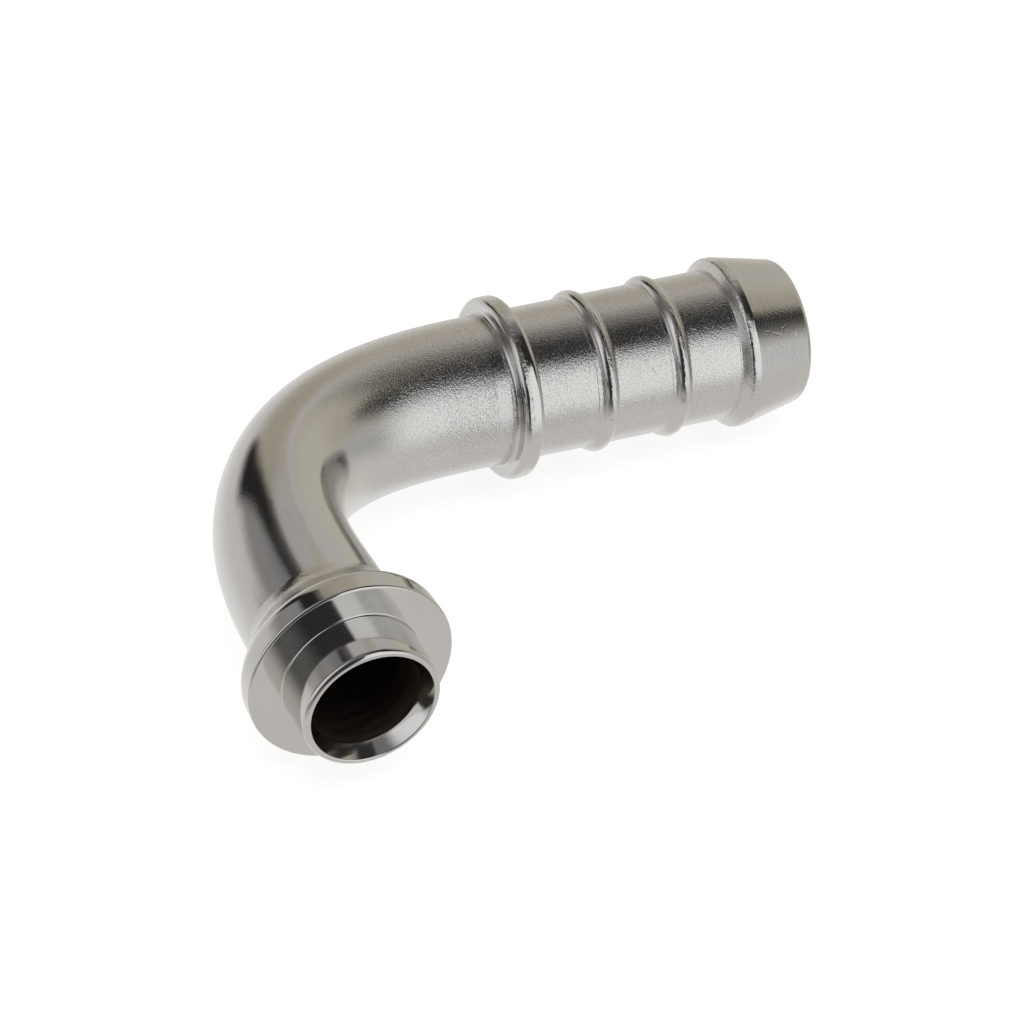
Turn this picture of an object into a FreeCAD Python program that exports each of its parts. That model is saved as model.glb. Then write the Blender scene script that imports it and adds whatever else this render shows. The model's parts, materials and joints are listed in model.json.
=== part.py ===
"""A right-angle hose barb elbow: one plated metal piece with a bored waterway.

The two leg axes cross at the corner point. While it is drawn, the corner is the
origin, the hose leg runs along +X and the union leg along -Y. The finished piece
is then laid on its side, with the centre of the collar's sealing face at the
origin and +Z up. All sizes are in millimetres.
"""
import FreeCAD, Part
import math
import os

import Sketcher

# Driving sizes: alias and millimetres. Each run is counted from the feature before it.
SIZES = {
    # round tube and bend
    "tube_radius": 6.25,
    "bend_radius": 22.4,
    "crown_shift": 1.95,
    "crown_flattening": 0.80,
    "crown_swelling": 0.36,
    # waterway
    "bore_radius": 4.5,
    "hose_bore_radius": 4.25,
    "mouth_radius": 5.15,
    "mouth_depth": 1.3,
    "tail_chamfer": 0.3,
    # union leg: flared collar and spigot
    "face_run": 6.55,
    "collar_radius": 8.5,
    "collar_width": 2.1,
    "flare_length": 1.4,
    "flare_fillet": 1.3,
    "shoulder_round": 0.7,
    "collar_edge_round": 0.35,
    "spigot_radius": 5.7,
    "spigot_length": 4.4,
    "spigot_foot_fillet": 0.3,
    "nose_round": 0.4,
    # hose leg: stop bead, two ribs and the last barb
    "stop_run": 2.6,
    "stop_height": 1.38,
    "stop_width": 2.0,
    "stop_round": 0.55,
    "stop_back_fillet": 0.5,
    "stop_front_fillet": 0.25,
    "rib_run": 7.35,
    "rib_pitch": 6.6,
    "rib_height": 0.53,
    "rib_round": 0.66,
    "rib_foot_fillet": 0.15,
    "barb_run": 5.45,
    "barb_back_run": 0.45,
    "barb_crest_width": 0.7,
    "barb_height": 0.9,
    "barb_round": 0.3,
    "barb_foot_fillet": 0.15,
    "barb_length": 6.45,
    "tip_drop": 0.25,
    "tip_round": 0.55,
}

NODE = "elbow_hose_barb"
BEND_ANGLE = 90.0
BEND_STEPS = 8              # equal steps between the sections of the bend
CROWN_REACH = 1 + math.sqrt(2)  # arc radius lost per unit that a quarter bend moves out
SETTLING_STEPS = 12         # rounds that find the plane on which the elbow lies
SIZE_TOLERANCE = 1e-4       # how near an edge lies to the place where it is looked for

HOSE_LEG = FreeCAD.Vector(1, 0, 0)
UNION_LEG = FreeCAD.Vector(0, -1, 0)
UP = FreeCAD.Vector(0, 0, 1)

document = FreeCAD.newDocument("Elbow")
sheet = document.addObject("Spreadsheet::Sheet", "Sizes")


class Size:
    """A length, held both as a number and as the expression that drives it."""

    def __init__(self, text, value):
        self.text = text
        self.value = value

    def __add__(self, other):
        return Size(f"({self.text} + {other.text})", self.value + other.value)

    def __sub__(self, other):
        return Size(f"({self.text} - {other.text})", self.value - other.value)

    def times(self, factor):
        """The same length multiplied by a plain number."""
        return Size(f"{self.text} * {factor:.9f}", self.value * factor)


NOTHING = Size("0", 0.0)


def size(alias):
    """The driving size of that name."""
    return Size(f"Sizes.{alias}", SIZES[alias])


def bore_arc():
    """The radius of the bore's bend, which keeps it in the middle of the tube's crown."""
    return size("bend_radius") - size("crown_shift").times(CROWN_REACH)


def face_place():
    """Where the collar's sealing face stands on the union leg."""
    return size("bend_radius") + size("face_run")


def nose_place():
    """Where the spigot ends on the union leg."""
    return face_place() + size("spigot_length")


def stop_place():
    """Where the middle of the hose stop bead stands on the hose leg."""
    return size("bend_radius") + size("stop_run")


def rib_places():
    """Where the middles of the two ribs stand on the hose leg."""
    first = stop_place() + size("rib_run")
    return first, first + size("rib_pitch")


def barb_place():
    """Where the last barb rises from the land on the hose leg."""
    return rib_places()[1] + size("barb_run")


def tail_place():
    """Where the hose leg ends."""
    return barb_place() + size("barb_length")


def crest(height):
    """The radius of a ring that stands that high on the tube."""
    return size("tube_radius") + size(height)


def tip_radius():
    """The radius at which the last barb's taper ends."""
    return size("tube_radius") - size("tip_drop")


def fill_sheet():
    """Writes each driving size into a cell of its own, with its alias."""
    for row, (alias, value) in enumerate(SIZES.items(), start=1):
        sheet.set(f"A{row}", alias)
        sheet.set(f"B{row}", str(value))
        sheet.setAlias(f"B{row}", alias)
    document.recompute()


def origin_plane(body, role):
    """One of the body's own origin planes."""
    return next(f for f in body.Origin.OriginFeatures if f.Role == role)


def bend_plane_sketch(body, name, offset=None):
    """An empty sketch on the plane of the bend, moved and turned by the offset."""
    sketch = body.newObject("Sketcher::SketchObject", name)
    sketch.AttachmentSupport = (origin_plane(body, "XY_Plane"), [""])
    sketch.MapMode = "FlatFace"
    if offset is not None:
        sketch.AttachmentOffset = offset
    return sketch


def bind(sketch, constraint, length):
    """Adds a constraint whose value follows a length."""
    index = sketch.addConstraint(constraint)
    sketch.setExpression(f"Constraints[{index}]", length.text)


def leg_sketch(body, name, leg):
    """A sketch whose first axis runs along a leg, and whose second is the radius."""
    turn = math.degrees(math.atan2(leg.y, leg.x))
    offset = FreeCAD.Placement(FreeCAD.Vector(), FreeCAD.Rotation(UP, turn))
    return bend_plane_sketch(body, name, offset)


def draw_outline(sketch, corners):
    """Draws a closed outline through (distance along the leg, radius) corners."""
    points = [FreeCAD.Vector(x.value, y.value, 0) for x, y in corners]
    count = len(points)
    for i in range(count):
        sketch.addGeometry(Part.LineSegment(points[i], points[(i + 1) % count]), False)
    for i in range(count):
        following = (i + 1) % count
        sketch.addConstraint(Sketcher.Constraint("Coincident", i, 2, following, 1))
    for i, (along, radius) in enumerate(corners):
        bind(sketch, Sketcher.Constraint("DistanceX", -1, 1, i, 1, along.value), along)
        if radius is NOTHING:
            sketch.addConstraint(Sketcher.Constraint("PointOnObject", i, 1, -1))
        else:
            bind(sketch, Sketcher.Constraint("DistanceY", -1, 1, i, 1, radius.value), radius)


def draw_circle(sketch, along, across, radius):
    """Draws a circle with a driven centre and radius."""
    centre = FreeCAD.Vector(along.value, across.value, 0)
    circle = sketch.addGeometry(Part.Circle(centre, UP, radius.value), False)
    bind(sketch, Sketcher.Constraint("Radius", circle, radius.value), radius)
    for kind, place, axis in (("DistanceX", along, -2), ("DistanceY", across, -1)):
        if place is NOTHING:
            sketch.addConstraint(Sketcher.Constraint("PointOnObject", circle, 3, axis))
        else:
            bind(sketch, Sketcher.Constraint(kind, -1, 1, circle, 3, place.value), place)


def draw_ellipse(sketch, tall, wide):
    """Draws an ellipse about the sketch's origin, taller along the first axis."""
    tip = FreeCAD.Vector(tall.value, 0, 0)
    side = FreeCAD.Vector(0, wide.value, 0)
    ellipse = sketch.addGeometry(Part.Ellipse(tip, side, FreeCAD.Vector()), False)
    sketch.exposeInternalGeometry(ellipse)
    major = ellipse + 1
    minor = ellipse + 2
    sketch.addConstraint(Sketcher.Constraint("Coincident", ellipse, 3, -1, 1))
    sketch.addConstraint(Sketcher.Constraint("PointOnObject", major, 1, -1))
    bind(sketch, Sketcher.Constraint("Distance", major, 2 * tall.value), tall.times(2))
    bind(sketch, Sketcher.Constraint("Distance", minor, 2 * wide.value), wide.times(2))


def turn_about_leg(body, kind, name, sketch):
    """Turns a leg's outline once round the leg's axis."""
    feature = body.newObject(f"PartDesign::{kind}", name)
    feature.Profile = sketch
    feature.ReferenceAxis = (sketch, ["H_Axis"])
    feature.Angle = 360.0
    sketch.Visibility = False
    document.recompute()
    return feature


def ring_edges(shape, leg, along, radius):
    """Names the circular edges of a shape at one place on a leg."""
    centre = leg * along.value
    names = []
    for number, edge in enumerate(shape.Edges, start=1):
        if not isinstance(edge.Curve, Part.Circle):
            continue
        off_centre = edge.Curve.Center.distanceToPoint(centre)
        off_radius = abs(edge.Curve.Radius - radius.value)
        if off_centre < SIZE_TOLERANCE and off_radius < SIZE_TOLERANCE:
            names.append(f"Edge{number}")
    if not names:
        raise RuntimeError(f"no ring at {along.text} with radius {radius.text}")
    return names


def round_rings(body, name, leg, rings, radius):
    """Rounds the ring edges at (distance, radius) places, inner or outer corners alike."""
    base = body.Tip
    names = []
    for along, ring_radius in rings:
        names += ring_edges(base.Shape, leg, along, ring_radius)
    fillet = body.newObject("PartDesign::Fillet", name)
    fillet.Base = (base, names)
    fillet.setExpression("Radius", radius.text)
    document.recompute()
    return fillet


def crown_weight(angle):
    """How far the bend's section has left the plain round tube, from 0 to 1."""
    return math.sin(2 * math.radians(angle)) ** 2


def bend_section(angle):
    """Centre and half widths of the bend's section: along x, along y, tall, wide."""
    weight = crown_weight(angle)
    sweep = size("bend_radius") + size("crown_shift").times(weight)
    sine = math.sin(math.radians(angle))
    cosine = math.cos(math.radians(angle))
    along_x = size("bend_radius") - sweep.times(sine)
    along_y = sweep.times(cosine) - size("bend_radius")
    tall = size("tube_radius") + size("crown_swelling").times(weight)
    wide = size("tube_radius") - size("crown_flattening").times(weight)
    return along_x, along_y, tall, wide


def section_turn(angle):
    """Turns a sketch square to the tube: first axis up, second out of the bend."""
    outward = FreeCAD.Rotation(UP, angle).multVec(FreeCAD.Vector(0, 1, 0))
    return FreeCAD.Rotation(UP, outward, UP.cross(outward), "XYZ")


def section_sketch(body, name, angle, along_x, along_y):
    """A sketch across the tube at one place on its centreline."""
    base = FreeCAD.Vector(along_x.value, along_y.value, 0)
    offset = FreeCAD.Placement(base, section_turn(angle))
    sketch = bend_plane_sketch(body, name, offset)
    sketch.setExpression("AttachmentOffset.Base.x", along_x.text)
    sketch.setExpression("AttachmentOffset.Base.y", along_y.text)
    return sketch


def draw_quarter_arc(sketch, radius):
    """Draws the quarter circle that joins the legs, tangent to both."""
    centre = FreeCAD.Vector(radius.value, -radius.value, 0)
    circle = Part.Circle(centre, UP, radius.value)
    arc = sketch.addGeometry(Part.ArcOfCircle(circle, math.pi / 2, math.pi), False)
    sketch.addConstraint(Sketcher.Constraint("PointOnObject", arc, 1, -1))
    sketch.addConstraint(Sketcher.Constraint("PointOnObject", arc, 2, -2))
    sketch.addConstraint(Sketcher.Constraint("Vertical", arc, 1, arc, 3))
    sketch.addConstraint(Sketcher.Constraint("Horizontal", arc, 2, arc, 3))
    bind(sketch, Sketcher.Constraint("Radius", arc, radius.value), radius)
    return arc


def make_bend(body):
    """The bend: flattened and a little taller at its crown, round where the legs begin."""
    path = bend_plane_sketch(body, "BendPath")
    draw_quarter_arc(path, size("bend_radius"))
    sections = []
    for step in range(BEND_STEPS + 1):
        angle = BEND_ANGLE * step / BEND_STEPS
        along_x, along_y, tall, wide = bend_section(angle)
        sketch = section_sketch(body, f"BendSection{step}", angle, along_x, along_y)
        if step in (0, BEND_STEPS):
            draw_circle(sketch, NOTHING, NOTHING, size("tube_radius"))
        else:
            draw_ellipse(sketch, tall, wide)
        sections.append(sketch)
    document.recompute()
    bend = body.newObject("PartDesign::AdditivePipe", "Bend")
    bend.Profile = sections[0]
    bend.Spine = (path, ["Edge1"])
    bend.Mode = "Binormal"
    bend.Binormal = UP
    bend.Transformation = "Multisection"
    bend.Sections = [(sketch, [""]) for sketch in sections[1:]]
    document.recompute()
    return bend


def make_union_leg(body):
    """Straight tube, flared collar with its flat sealing face, and the spigot."""
    start = size("bend_radius")
    face = face_place()
    back = face - size("collar_width")
    flare = back - size("flare_length")
    nose = nose_place()
    tube = size("tube_radius")
    collar = size("collar_radius")
    spigot = size("spigot_radius")
    sketch = leg_sketch(body, "UnionLegOutline", UNION_LEG)
    draw_outline(sketch, [
        (start, NOTHING), (start, tube), (flare, tube), (back, collar), (face, collar),
        (face, spigot), (nose, spigot), (nose, NOTHING),
    ])
    turn_about_leg(body, "Revolution", "UnionLeg", sketch)
    rounds = (
        ("FlareFillet", flare, tube, "flare_fillet"),
        ("ShoulderRound", back, collar, "shoulder_round"),
        ("CollarEdgeRound", face, collar, "collar_edge_round"),
        ("SpigotFootFillet", face, spigot, "spigot_foot_fillet"),
        ("NoseRound", nose, spigot, "nose_round"),
    )
    for name, along, radius, alias in rounds:
        round_rings(body, name, UNION_LEG, [(along, radius)], size(alias))


def make_hose_leg(body):
    """Straight tube, hose stop bead, and the plain land that runs into the last barb."""
    start = size("bend_radius")
    stop_back = stop_place() - size("stop_width").times(0.5)
    stop_front = stop_place() + size("stop_width").times(0.5)
    barb_foot = barb_place()
    crest_back = barb_foot + size("barb_back_run")
    crest_front = crest_back + size("barb_crest_width")
    tail = tail_place()
    tube = size("tube_radius")
    stop = crest("stop_height")
    barb = crest("barb_height")
    tip = tip_radius()
    sketch = leg_sketch(body, "HoseLegOutline", HOSE_LEG)
    draw_outline(sketch, [
        (start, NOTHING), (start, tube), (stop_back, tube), (stop_back, stop),
        (stop_front, stop), (stop_front, tube), (barb_foot, tube), (crest_back, barb),
        (crest_front, barb), (tail, tip), (tail, NOTHING),
    ])
    turn_about_leg(body, "Revolution", "HoseLeg", sketch)
    rounds = (
        ("StopRound", [(stop_back, stop), (stop_front, stop)], "stop_round"),
        ("StopBackFillet", [(stop_back, tube)], "stop_back_fillet"),
        ("StopFrontFillet", [(stop_front, tube)], "stop_front_fillet"),
        ("BarbFootFillet", [(barb_foot, tube)], "barb_foot_fillet"),
        ("BarbRound", [(crest_back, barb), (crest_front, barb)], "barb_round"),
        ("TipRound", [(tail, tip)], "tip_round"),
    )
    for name, rings, alias in rounds:
        round_rings(body, name, HOSE_LEG, rings, size(alias))


def make_ribs(body):
    """Two round ribs that grip the hose, each half sunk into the land."""
    bead = size("rib_round")
    ring = crest("rib_height") - bead
    sketch = leg_sketch(body, "RibOutlines", HOSE_LEG)
    for along in rib_places():
        draw_circle(sketch, along, ring, bead)
    turn_about_leg(body, "Revolution", "Ribs", sketch)
    sunk = size("tube_radius").value - ring.value
    half_width = math.sqrt(bead.value ** 2 - sunk ** 2)
    feet = []
    for along in rib_places():
        for side in (-half_width, half_width):
            feet.append((Size(along.text, along.value + side), size("tube_radius")))
    round_rings(body, "RibFeet", HOSE_LEG, feet, size("rib_foot_fillet"))


def make_waterway(body):
    """The waterway: one bore from the spigot round the bend, one from the hose end."""
    arc = bore_arc()
    nose = nose_place()
    path = bend_plane_sketch(body, "BorePath")
    around = draw_quarter_arc(path, arc)
    bend_end = FreeCAD.Vector(0, -arc.value, 0)
    nose_end = FreeCAD.Vector(0, -nose.value, 0)
    along_union = path.addGeometry(Part.LineSegment(bend_end, nose_end), False)
    path.addConstraint(Sketcher.Constraint("Coincident", along_union, 1, around, 2))
    path.addConstraint(Sketcher.Constraint("PointOnObject", along_union, 2, -2))
    bind(path, Sketcher.Constraint("DistanceY", along_union, 2, -1, 1, nose.value), nose)

    section = section_sketch(body, "BoreSection", 0.0, arc, NOTHING)
    draw_circle(section, NOTHING, NOTHING, size("bore_radius"))
    document.recompute()
    bore = body.newObject("PartDesign::SubtractivePipe", "Bore")
    bore.Profile = section
    bore.Spine = (path, ["Edge1", "Edge2"])
    document.recompute()

    tail = tail_place()
    drilled = size("hose_bore_radius")
    outline = leg_sketch(body, "HoseBoreOutline", HOSE_LEG)
    draw_outline(outline, [(arc, NOTHING), (arc, drilled), (tail, drilled), (tail, NOTHING)])
    turn_about_leg(body, "Groove", "HoseBore", outline)


def make_mouths(body):
    """The tapered mouth of the spigot and the small chamfer inside the hose end."""
    bore = size("bore_radius")
    nose = nose_place()
    throat = nose - size("mouth_depth")
    mouth = leg_sketch(body, "MouthOutline", UNION_LEG)
    draw_outline(mouth, [
        (throat, NOTHING), (throat, bore), (nose, size("mouth_radius")), (nose, NOTHING),
    ])
    turn_about_leg(body, "Groove", "Mouth", mouth)

    bored = body.Tip
    edges = ring_edges(bored.Shape, HOSE_LEG, tail_place(), size("hose_bore_radius"))
    chamfer = body.newObject("PartDesign::Chamfer", "TailChamfer")
    chamfer.Base = (bored, edges)
    chamfer.setExpression("Size", size("tail_chamfer").text)
    document.recompute()


def ring_touch(leg, along, ring_radius, edge_radius, down):
    """The point of a rounded ring that lies furthest down."""
    across = down - leg * down.dot(leg)
    across.normalize()
    return leg * along + across * ring_radius + down * edge_radius


def resting_up():
    """The upward direction while the elbow lies on its collar, stop bead and barb."""
    shoulder = size("shoulder_round").value
    flare_rise = size("collar_radius").value - size("tube_radius").value
    flare_angle = math.atan2(flare_rise, size("flare_length").value)
    collar_back = face_place().value - size("collar_width").value
    shoulder_along = collar_back + shoulder * math.tan(flare_angle / 2)
    shoulder_ring = size("collar_radius").value - shoulder

    stop_edge = size("stop_round").value
    stop_along = stop_place().value + size("stop_width").value / 2 - stop_edge
    stop_ring = crest("stop_height").value - stop_edge

    barb_edge = size("barb_round").value
    crest_back = barb_place().value + size("barb_back_run").value
    crest_front = crest_back + size("barb_crest_width").value
    taper_rise = crest("barb_height").value - tip_radius().value
    taper_angle = math.atan2(taper_rise, tail_place().value - crest_front)
    barb_along = crest_front - barb_edge * math.tan(taper_angle / 2)
    barb_ring = crest("barb_height").value - barb_edge

    up = UP
    for _ in range(SETTLING_STEPS):
        down = up * -1
        collar = ring_touch(UNION_LEG, shoulder_along, shoulder_ring, shoulder, down)
        stop = ring_touch(HOSE_LEG, stop_along, stop_ring, stop_edge, down)
        barb = ring_touch(HOSE_LEG, barb_along, barb_ring, barb_edge, down)
        up = (barb - collar).cross(stop - collar)
        up.normalize()
    return up


def lay_down(body):
    """Lays the elbow on its side, with the sealing face's centre at the origin."""
    up = resting_up()
    along = HOSE_LEG - up * HOSE_LEG.dot(up)
    along.normalize()
    turn = FreeCAD.Rotation(along, up.cross(along), up, "ZXY").inverted()
    face_centre = UNION_LEG * face_place().value
    body.Placement = FreeCAD.Placement(turn.multVec(face_centre) * -1, turn)
    document.recompute()


def check(body):
    """Stops if any object failed or the finished shape is not one sound solid."""
    for item in document.Objects:
        if "Invalid" in item.State or "Error" in item.State:
            raise RuntimeError(f"{item.Name} failed: {item.State}")
    shape = body.Shape
    if shape.isNull() or not shape.isValid() or len(shape.Solids) != 1:
        raise RuntimeError(f"{body.Label} is not one valid solid")


fill_sheet()
elbow = document.addObject("PartDesign::Body", "Elbow")
elbow.Label = NODE
make_bend(elbow)
make_union_leg(elbow)
make_hose_leg(elbow)
make_ribs(elbow)
make_waterway(elbow)
make_mouths(elbow)
lay_down(elbow)
check(elbow)

os.makedirs("parts", exist_ok=True)
elbow.Shape.exportStep(os.path.join("parts", f"{NODE}.step"))
print(f"{NODE}: {elbow.Shape.Volume:.1f} mm3, {len(elbow.Shape.Faces)} faces")
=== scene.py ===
"""Looks of the elbow hose barb: one turned, bent and nickel plated fitting.

The skin of the fitting is one closed surface, built as a chain of rings that runs
from the spigot's nose over the collar, round the bend, along the ribbed hose leg, in
at its end and back through the waterway. Sizes are in millimetres and are measured
in the bench frame: the leg axes cross at the origin, the hose leg runs along +X and
the union leg along -Y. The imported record's bore mounts say how the fitting lies.
"""

import json
import logging
import math
from dataclasses import dataclass, field
from enum import Enum
from functools import reduce

import bpy
import numpy as np
from mathutils import Matrix, Vector

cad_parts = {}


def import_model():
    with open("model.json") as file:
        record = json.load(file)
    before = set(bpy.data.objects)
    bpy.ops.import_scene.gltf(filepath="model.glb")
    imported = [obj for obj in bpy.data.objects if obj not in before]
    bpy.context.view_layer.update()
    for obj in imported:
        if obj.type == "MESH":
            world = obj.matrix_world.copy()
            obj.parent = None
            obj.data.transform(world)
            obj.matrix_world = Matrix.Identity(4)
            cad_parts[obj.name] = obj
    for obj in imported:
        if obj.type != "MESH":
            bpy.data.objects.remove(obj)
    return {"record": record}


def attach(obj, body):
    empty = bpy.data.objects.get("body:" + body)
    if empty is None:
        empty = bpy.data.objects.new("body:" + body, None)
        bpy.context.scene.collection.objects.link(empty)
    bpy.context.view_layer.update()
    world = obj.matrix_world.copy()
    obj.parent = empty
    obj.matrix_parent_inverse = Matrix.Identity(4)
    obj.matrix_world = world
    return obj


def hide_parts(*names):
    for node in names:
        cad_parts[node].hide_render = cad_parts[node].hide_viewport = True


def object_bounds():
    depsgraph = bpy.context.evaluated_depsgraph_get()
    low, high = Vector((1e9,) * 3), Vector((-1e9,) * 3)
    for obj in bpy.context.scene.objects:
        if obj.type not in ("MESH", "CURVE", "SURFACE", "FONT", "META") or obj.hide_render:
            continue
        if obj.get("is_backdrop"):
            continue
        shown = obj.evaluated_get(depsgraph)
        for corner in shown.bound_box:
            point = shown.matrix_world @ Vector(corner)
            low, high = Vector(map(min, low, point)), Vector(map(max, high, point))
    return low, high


NODE = "elbow_hose_barb"
BODY = "root"
MM = 0.001
AROUND = 304                # points round every ring of the skin
PLAY = 0.004                # how far the outer skin stays inside its nominal size, in mm
NO_CREST = 9.0              # stands for a distance from any crest, in mm
LOG = logging.getLogger("elbow")
Socket = bpy.types.NodeSocket
Feed = Socket | float | tuple   # a value for a socket, or the socket that feeds it


class Zone(Enum):
    """How a stretch of the skin was made, which sets its finish."""

    DRAWN = 0.0
    TURNED = 1.0


class Metal(Enum):
    """The material slots of the skin's mesh."""

    PLATING = 0
    WATERWAY = 1


@dataclass(frozen=True)
class Corner:
    """A corner of a turned outline.

    Args:
        along: how far from the leg axes' crossing it stands.
        radius: how far from the leg's axis it stands.
        rounding: the radius of the arc that rounds it.
    """

    along: float
    radius: float
    rounding: float = 0.0


@dataclass(frozen=True)
class Outline:
    """A turned outline with rounded corners, as a fine chain of points.

    Args:
        corners: the sharp corners, in order along the skin.
        arc_step: largest turn between two points of a rounding, in degrees.
        run_step: largest distance between two points of a straight run.
        support: how near a rounding's end its supporting point stands.
        fewest_steps: how many steps a rounding has at least.
    """

    corners: tuple[Corner, ...]
    arc_step: float = 11.0
    run_step: float = 1.2
    support: float = 0.04
    fewest_steps: int = 3

    def points(self) -> np.ndarray:
        """Samples the outline.

        Returns:
            Rows of (along, radius), from the first corner to the last.
        """
        places = [np.array((c.along, c.radius), float) for c in self.corners]
        stops: list[list[np.ndarray]] = []
        for index, corner in enumerate(self.corners):
            if corner.rounding <= 0.0 or index in (0, len(self.corners) - 1):
                stops.append([places[index]])
            else:
                stops.append(self.rounded(places, index, corner.rounding))
        chain: list[np.ndarray] = list(stops[0])
        for arc in stops[1:]:
            chain += self.run(chain[-1], arc[0])
            chain += arc
        return np.array(chain)

    def rounded(self, places: list[np.ndarray], index: int,
                rounding: float) -> list[np.ndarray]:
        """Samples the arc that rounds one corner.

        Args:
            places: all the sharp corners.
            index: which of them is rounded.
            rounding: the arc's radius.

        Returns:
            The arc's points, its two ends among them.
        """
        corner = places[index]
        back = places[index - 1] - corner
        ahead = places[index + 1] - corner
        back /= np.linalg.norm(back)
        ahead /= np.linalg.norm(ahead)
        between = math.acos(max(-1.0, min(1.0, float(back @ ahead))))
        turn = math.pi - between
        inward = (back + ahead) / np.linalg.norm(back + ahead)
        centre = corner + inward * rounding / math.sin(between / 2)
        start = corner + back * rounding / math.tan(between / 2) - centre
        side = start[1] * back[0] - start[0] * back[1]
        steps = max(self.fewest_steps, math.ceil(math.degrees(turn) / self.arc_step))
        arc: list[np.ndarray] = []
        for step in range(steps + 1):
            angle = math.copysign(turn * step / steps, side)
            cosine, sine = math.cos(angle), math.sin(angle)
            arc.append(centre + np.array((
                start[0] * cosine - start[1] * sine,
                start[0] * sine + start[1] * cosine)))
        return arc

    def run(self, start: np.ndarray, end: np.ndarray) -> list[np.ndarray]:
        """Divides a straight run, with a supporting point near each of its ends.

        Args:
            start: where the run begins.
            end: where it ends.

        Returns:
            The points between the two.
        """
        length = float(np.linalg.norm(end - start))
        if length < 4 * self.support:
            return []
        shares = {self.support / length, 1 - self.support / length}
        steps = math.ceil(length / self.run_step)
        shares |= {step / steps for step in range(1, steps)}
        return [start + (end - start) * share for share in sorted(shares)]


@dataclass(frozen=True)
class Ring:
    """One ring of the skin.

    Args:
        centre: where its middle stands on the bench, (x, y).
        outward: the direction in the bend plane that points out of the bend.
        wide: half width in the bend plane.
        tall: half width square to the bend plane.
        zone: how this stretch was made.
        crest: 1 on a crest that rubs and chips, 0 elsewhere.
        metal: the material slot of the strip that starts here.
        grain: how coarse the satin is, 0 where the turned face is bright.
        burr: distance along the leg from a crest's ragged line.
    """

    centre: tuple[float, float]
    outward: tuple[float, float]
    wide: float
    tall: float
    zone: Zone = Zone.DRAWN
    crest: float = 0.0
    metal: Metal = Metal.PLATING
    grain: float = 0.0
    burr: float = NO_CREST


def union_ring(along: float, radius: float, **more: Zone | Metal | float) -> Ring:
    """A round ring on the union leg, that far from the corner."""
    return Ring((0.0, -along), (-1.0, 0.0), radius, radius, **more)


def hose_ring(along: float, radius: float, **more: Zone | Metal | float) -> Ring:
    """A round ring on the hose leg, that far from the corner."""
    return Ring((along, 0.0), (0.0, 1.0), radius, radius, **more)


@dataclass(frozen=True)
class Bend:
    """The quarter bend of the tube, flattened and a little taller at its crown.

    Args:
        tube: the tube's radius at the hose leg.
        neck: the radius that the union leg is drawn down to.
        radius: the bend's radius to the leg axes.
        shift: how far the crown has moved out.
        flattening: how much the crown has lost in the bend plane.
        swelling: how much it has gained square to the bend plane.
        lean: how far the crown leans towards the union leg, as an angle.
        steps: how many steps the bend is built in.
        tube_grain: how coarse the satin is on the union leg's side.
        hose_grain: how coarse it is where the bend meets the hose leg.
        coarse_from: the angle at which the satin starts to get coarser.
        coarse_over: the angle that it takes to be as coarse as it gets.
    """

    tube: float = 6.25
    neck: float = 6.07
    radius: float = 22.4
    shift: float = 2.05
    flattening: float = 0.95
    swelling: float = 0.48
    lean: float = math.radians(3.2)
    steps: int = 44
    tube_grain: float = 0.22
    hose_grain: float = 1.35
    coarse_from: float = 0.85
    coarse_over: float = 0.6

    def rings(self) -> list[Ring]:
        """The rings from the union leg's end of the bend to the hose leg's end."""
        return [self.ring(math.pi / 2 * step / self.steps) for step in range(self.steps, -1, -1)]

    def ring(self, angle: float) -> Ring:
        """The ring at one angle of the bend.

        Args:
            angle: 0 at the hose leg and a quarter turn at the union leg.

        Returns:
            The ring.
        """
        weight = math.sin(2 * (angle - self.lean * math.sin(2 * angle))) ** 2
        sweep = self.radius + self.shift * weight
        sine, cosine = math.sin(angle), math.cos(angle)
        centre = (self.radius - sweep * sine, sweep * cosine - self.radius)
        drawn = self.tube + (self.neck - self.tube) * sine ** 2
        wide = drawn - self.flattening * weight
        tall = drawn + self.swelling * weight
        rise = min(1.0, max(0.0, (self.coarse_from - angle) / self.coarse_over))
        coarser = (self.hose_grain - self.tube_grain) * rise * rise * (3.0 - 2.0 * rise)
        grain = self.tube_grain + coarser
        return Ring(centre, (-sine, cosine), wide, tall, grain=grain)


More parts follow.
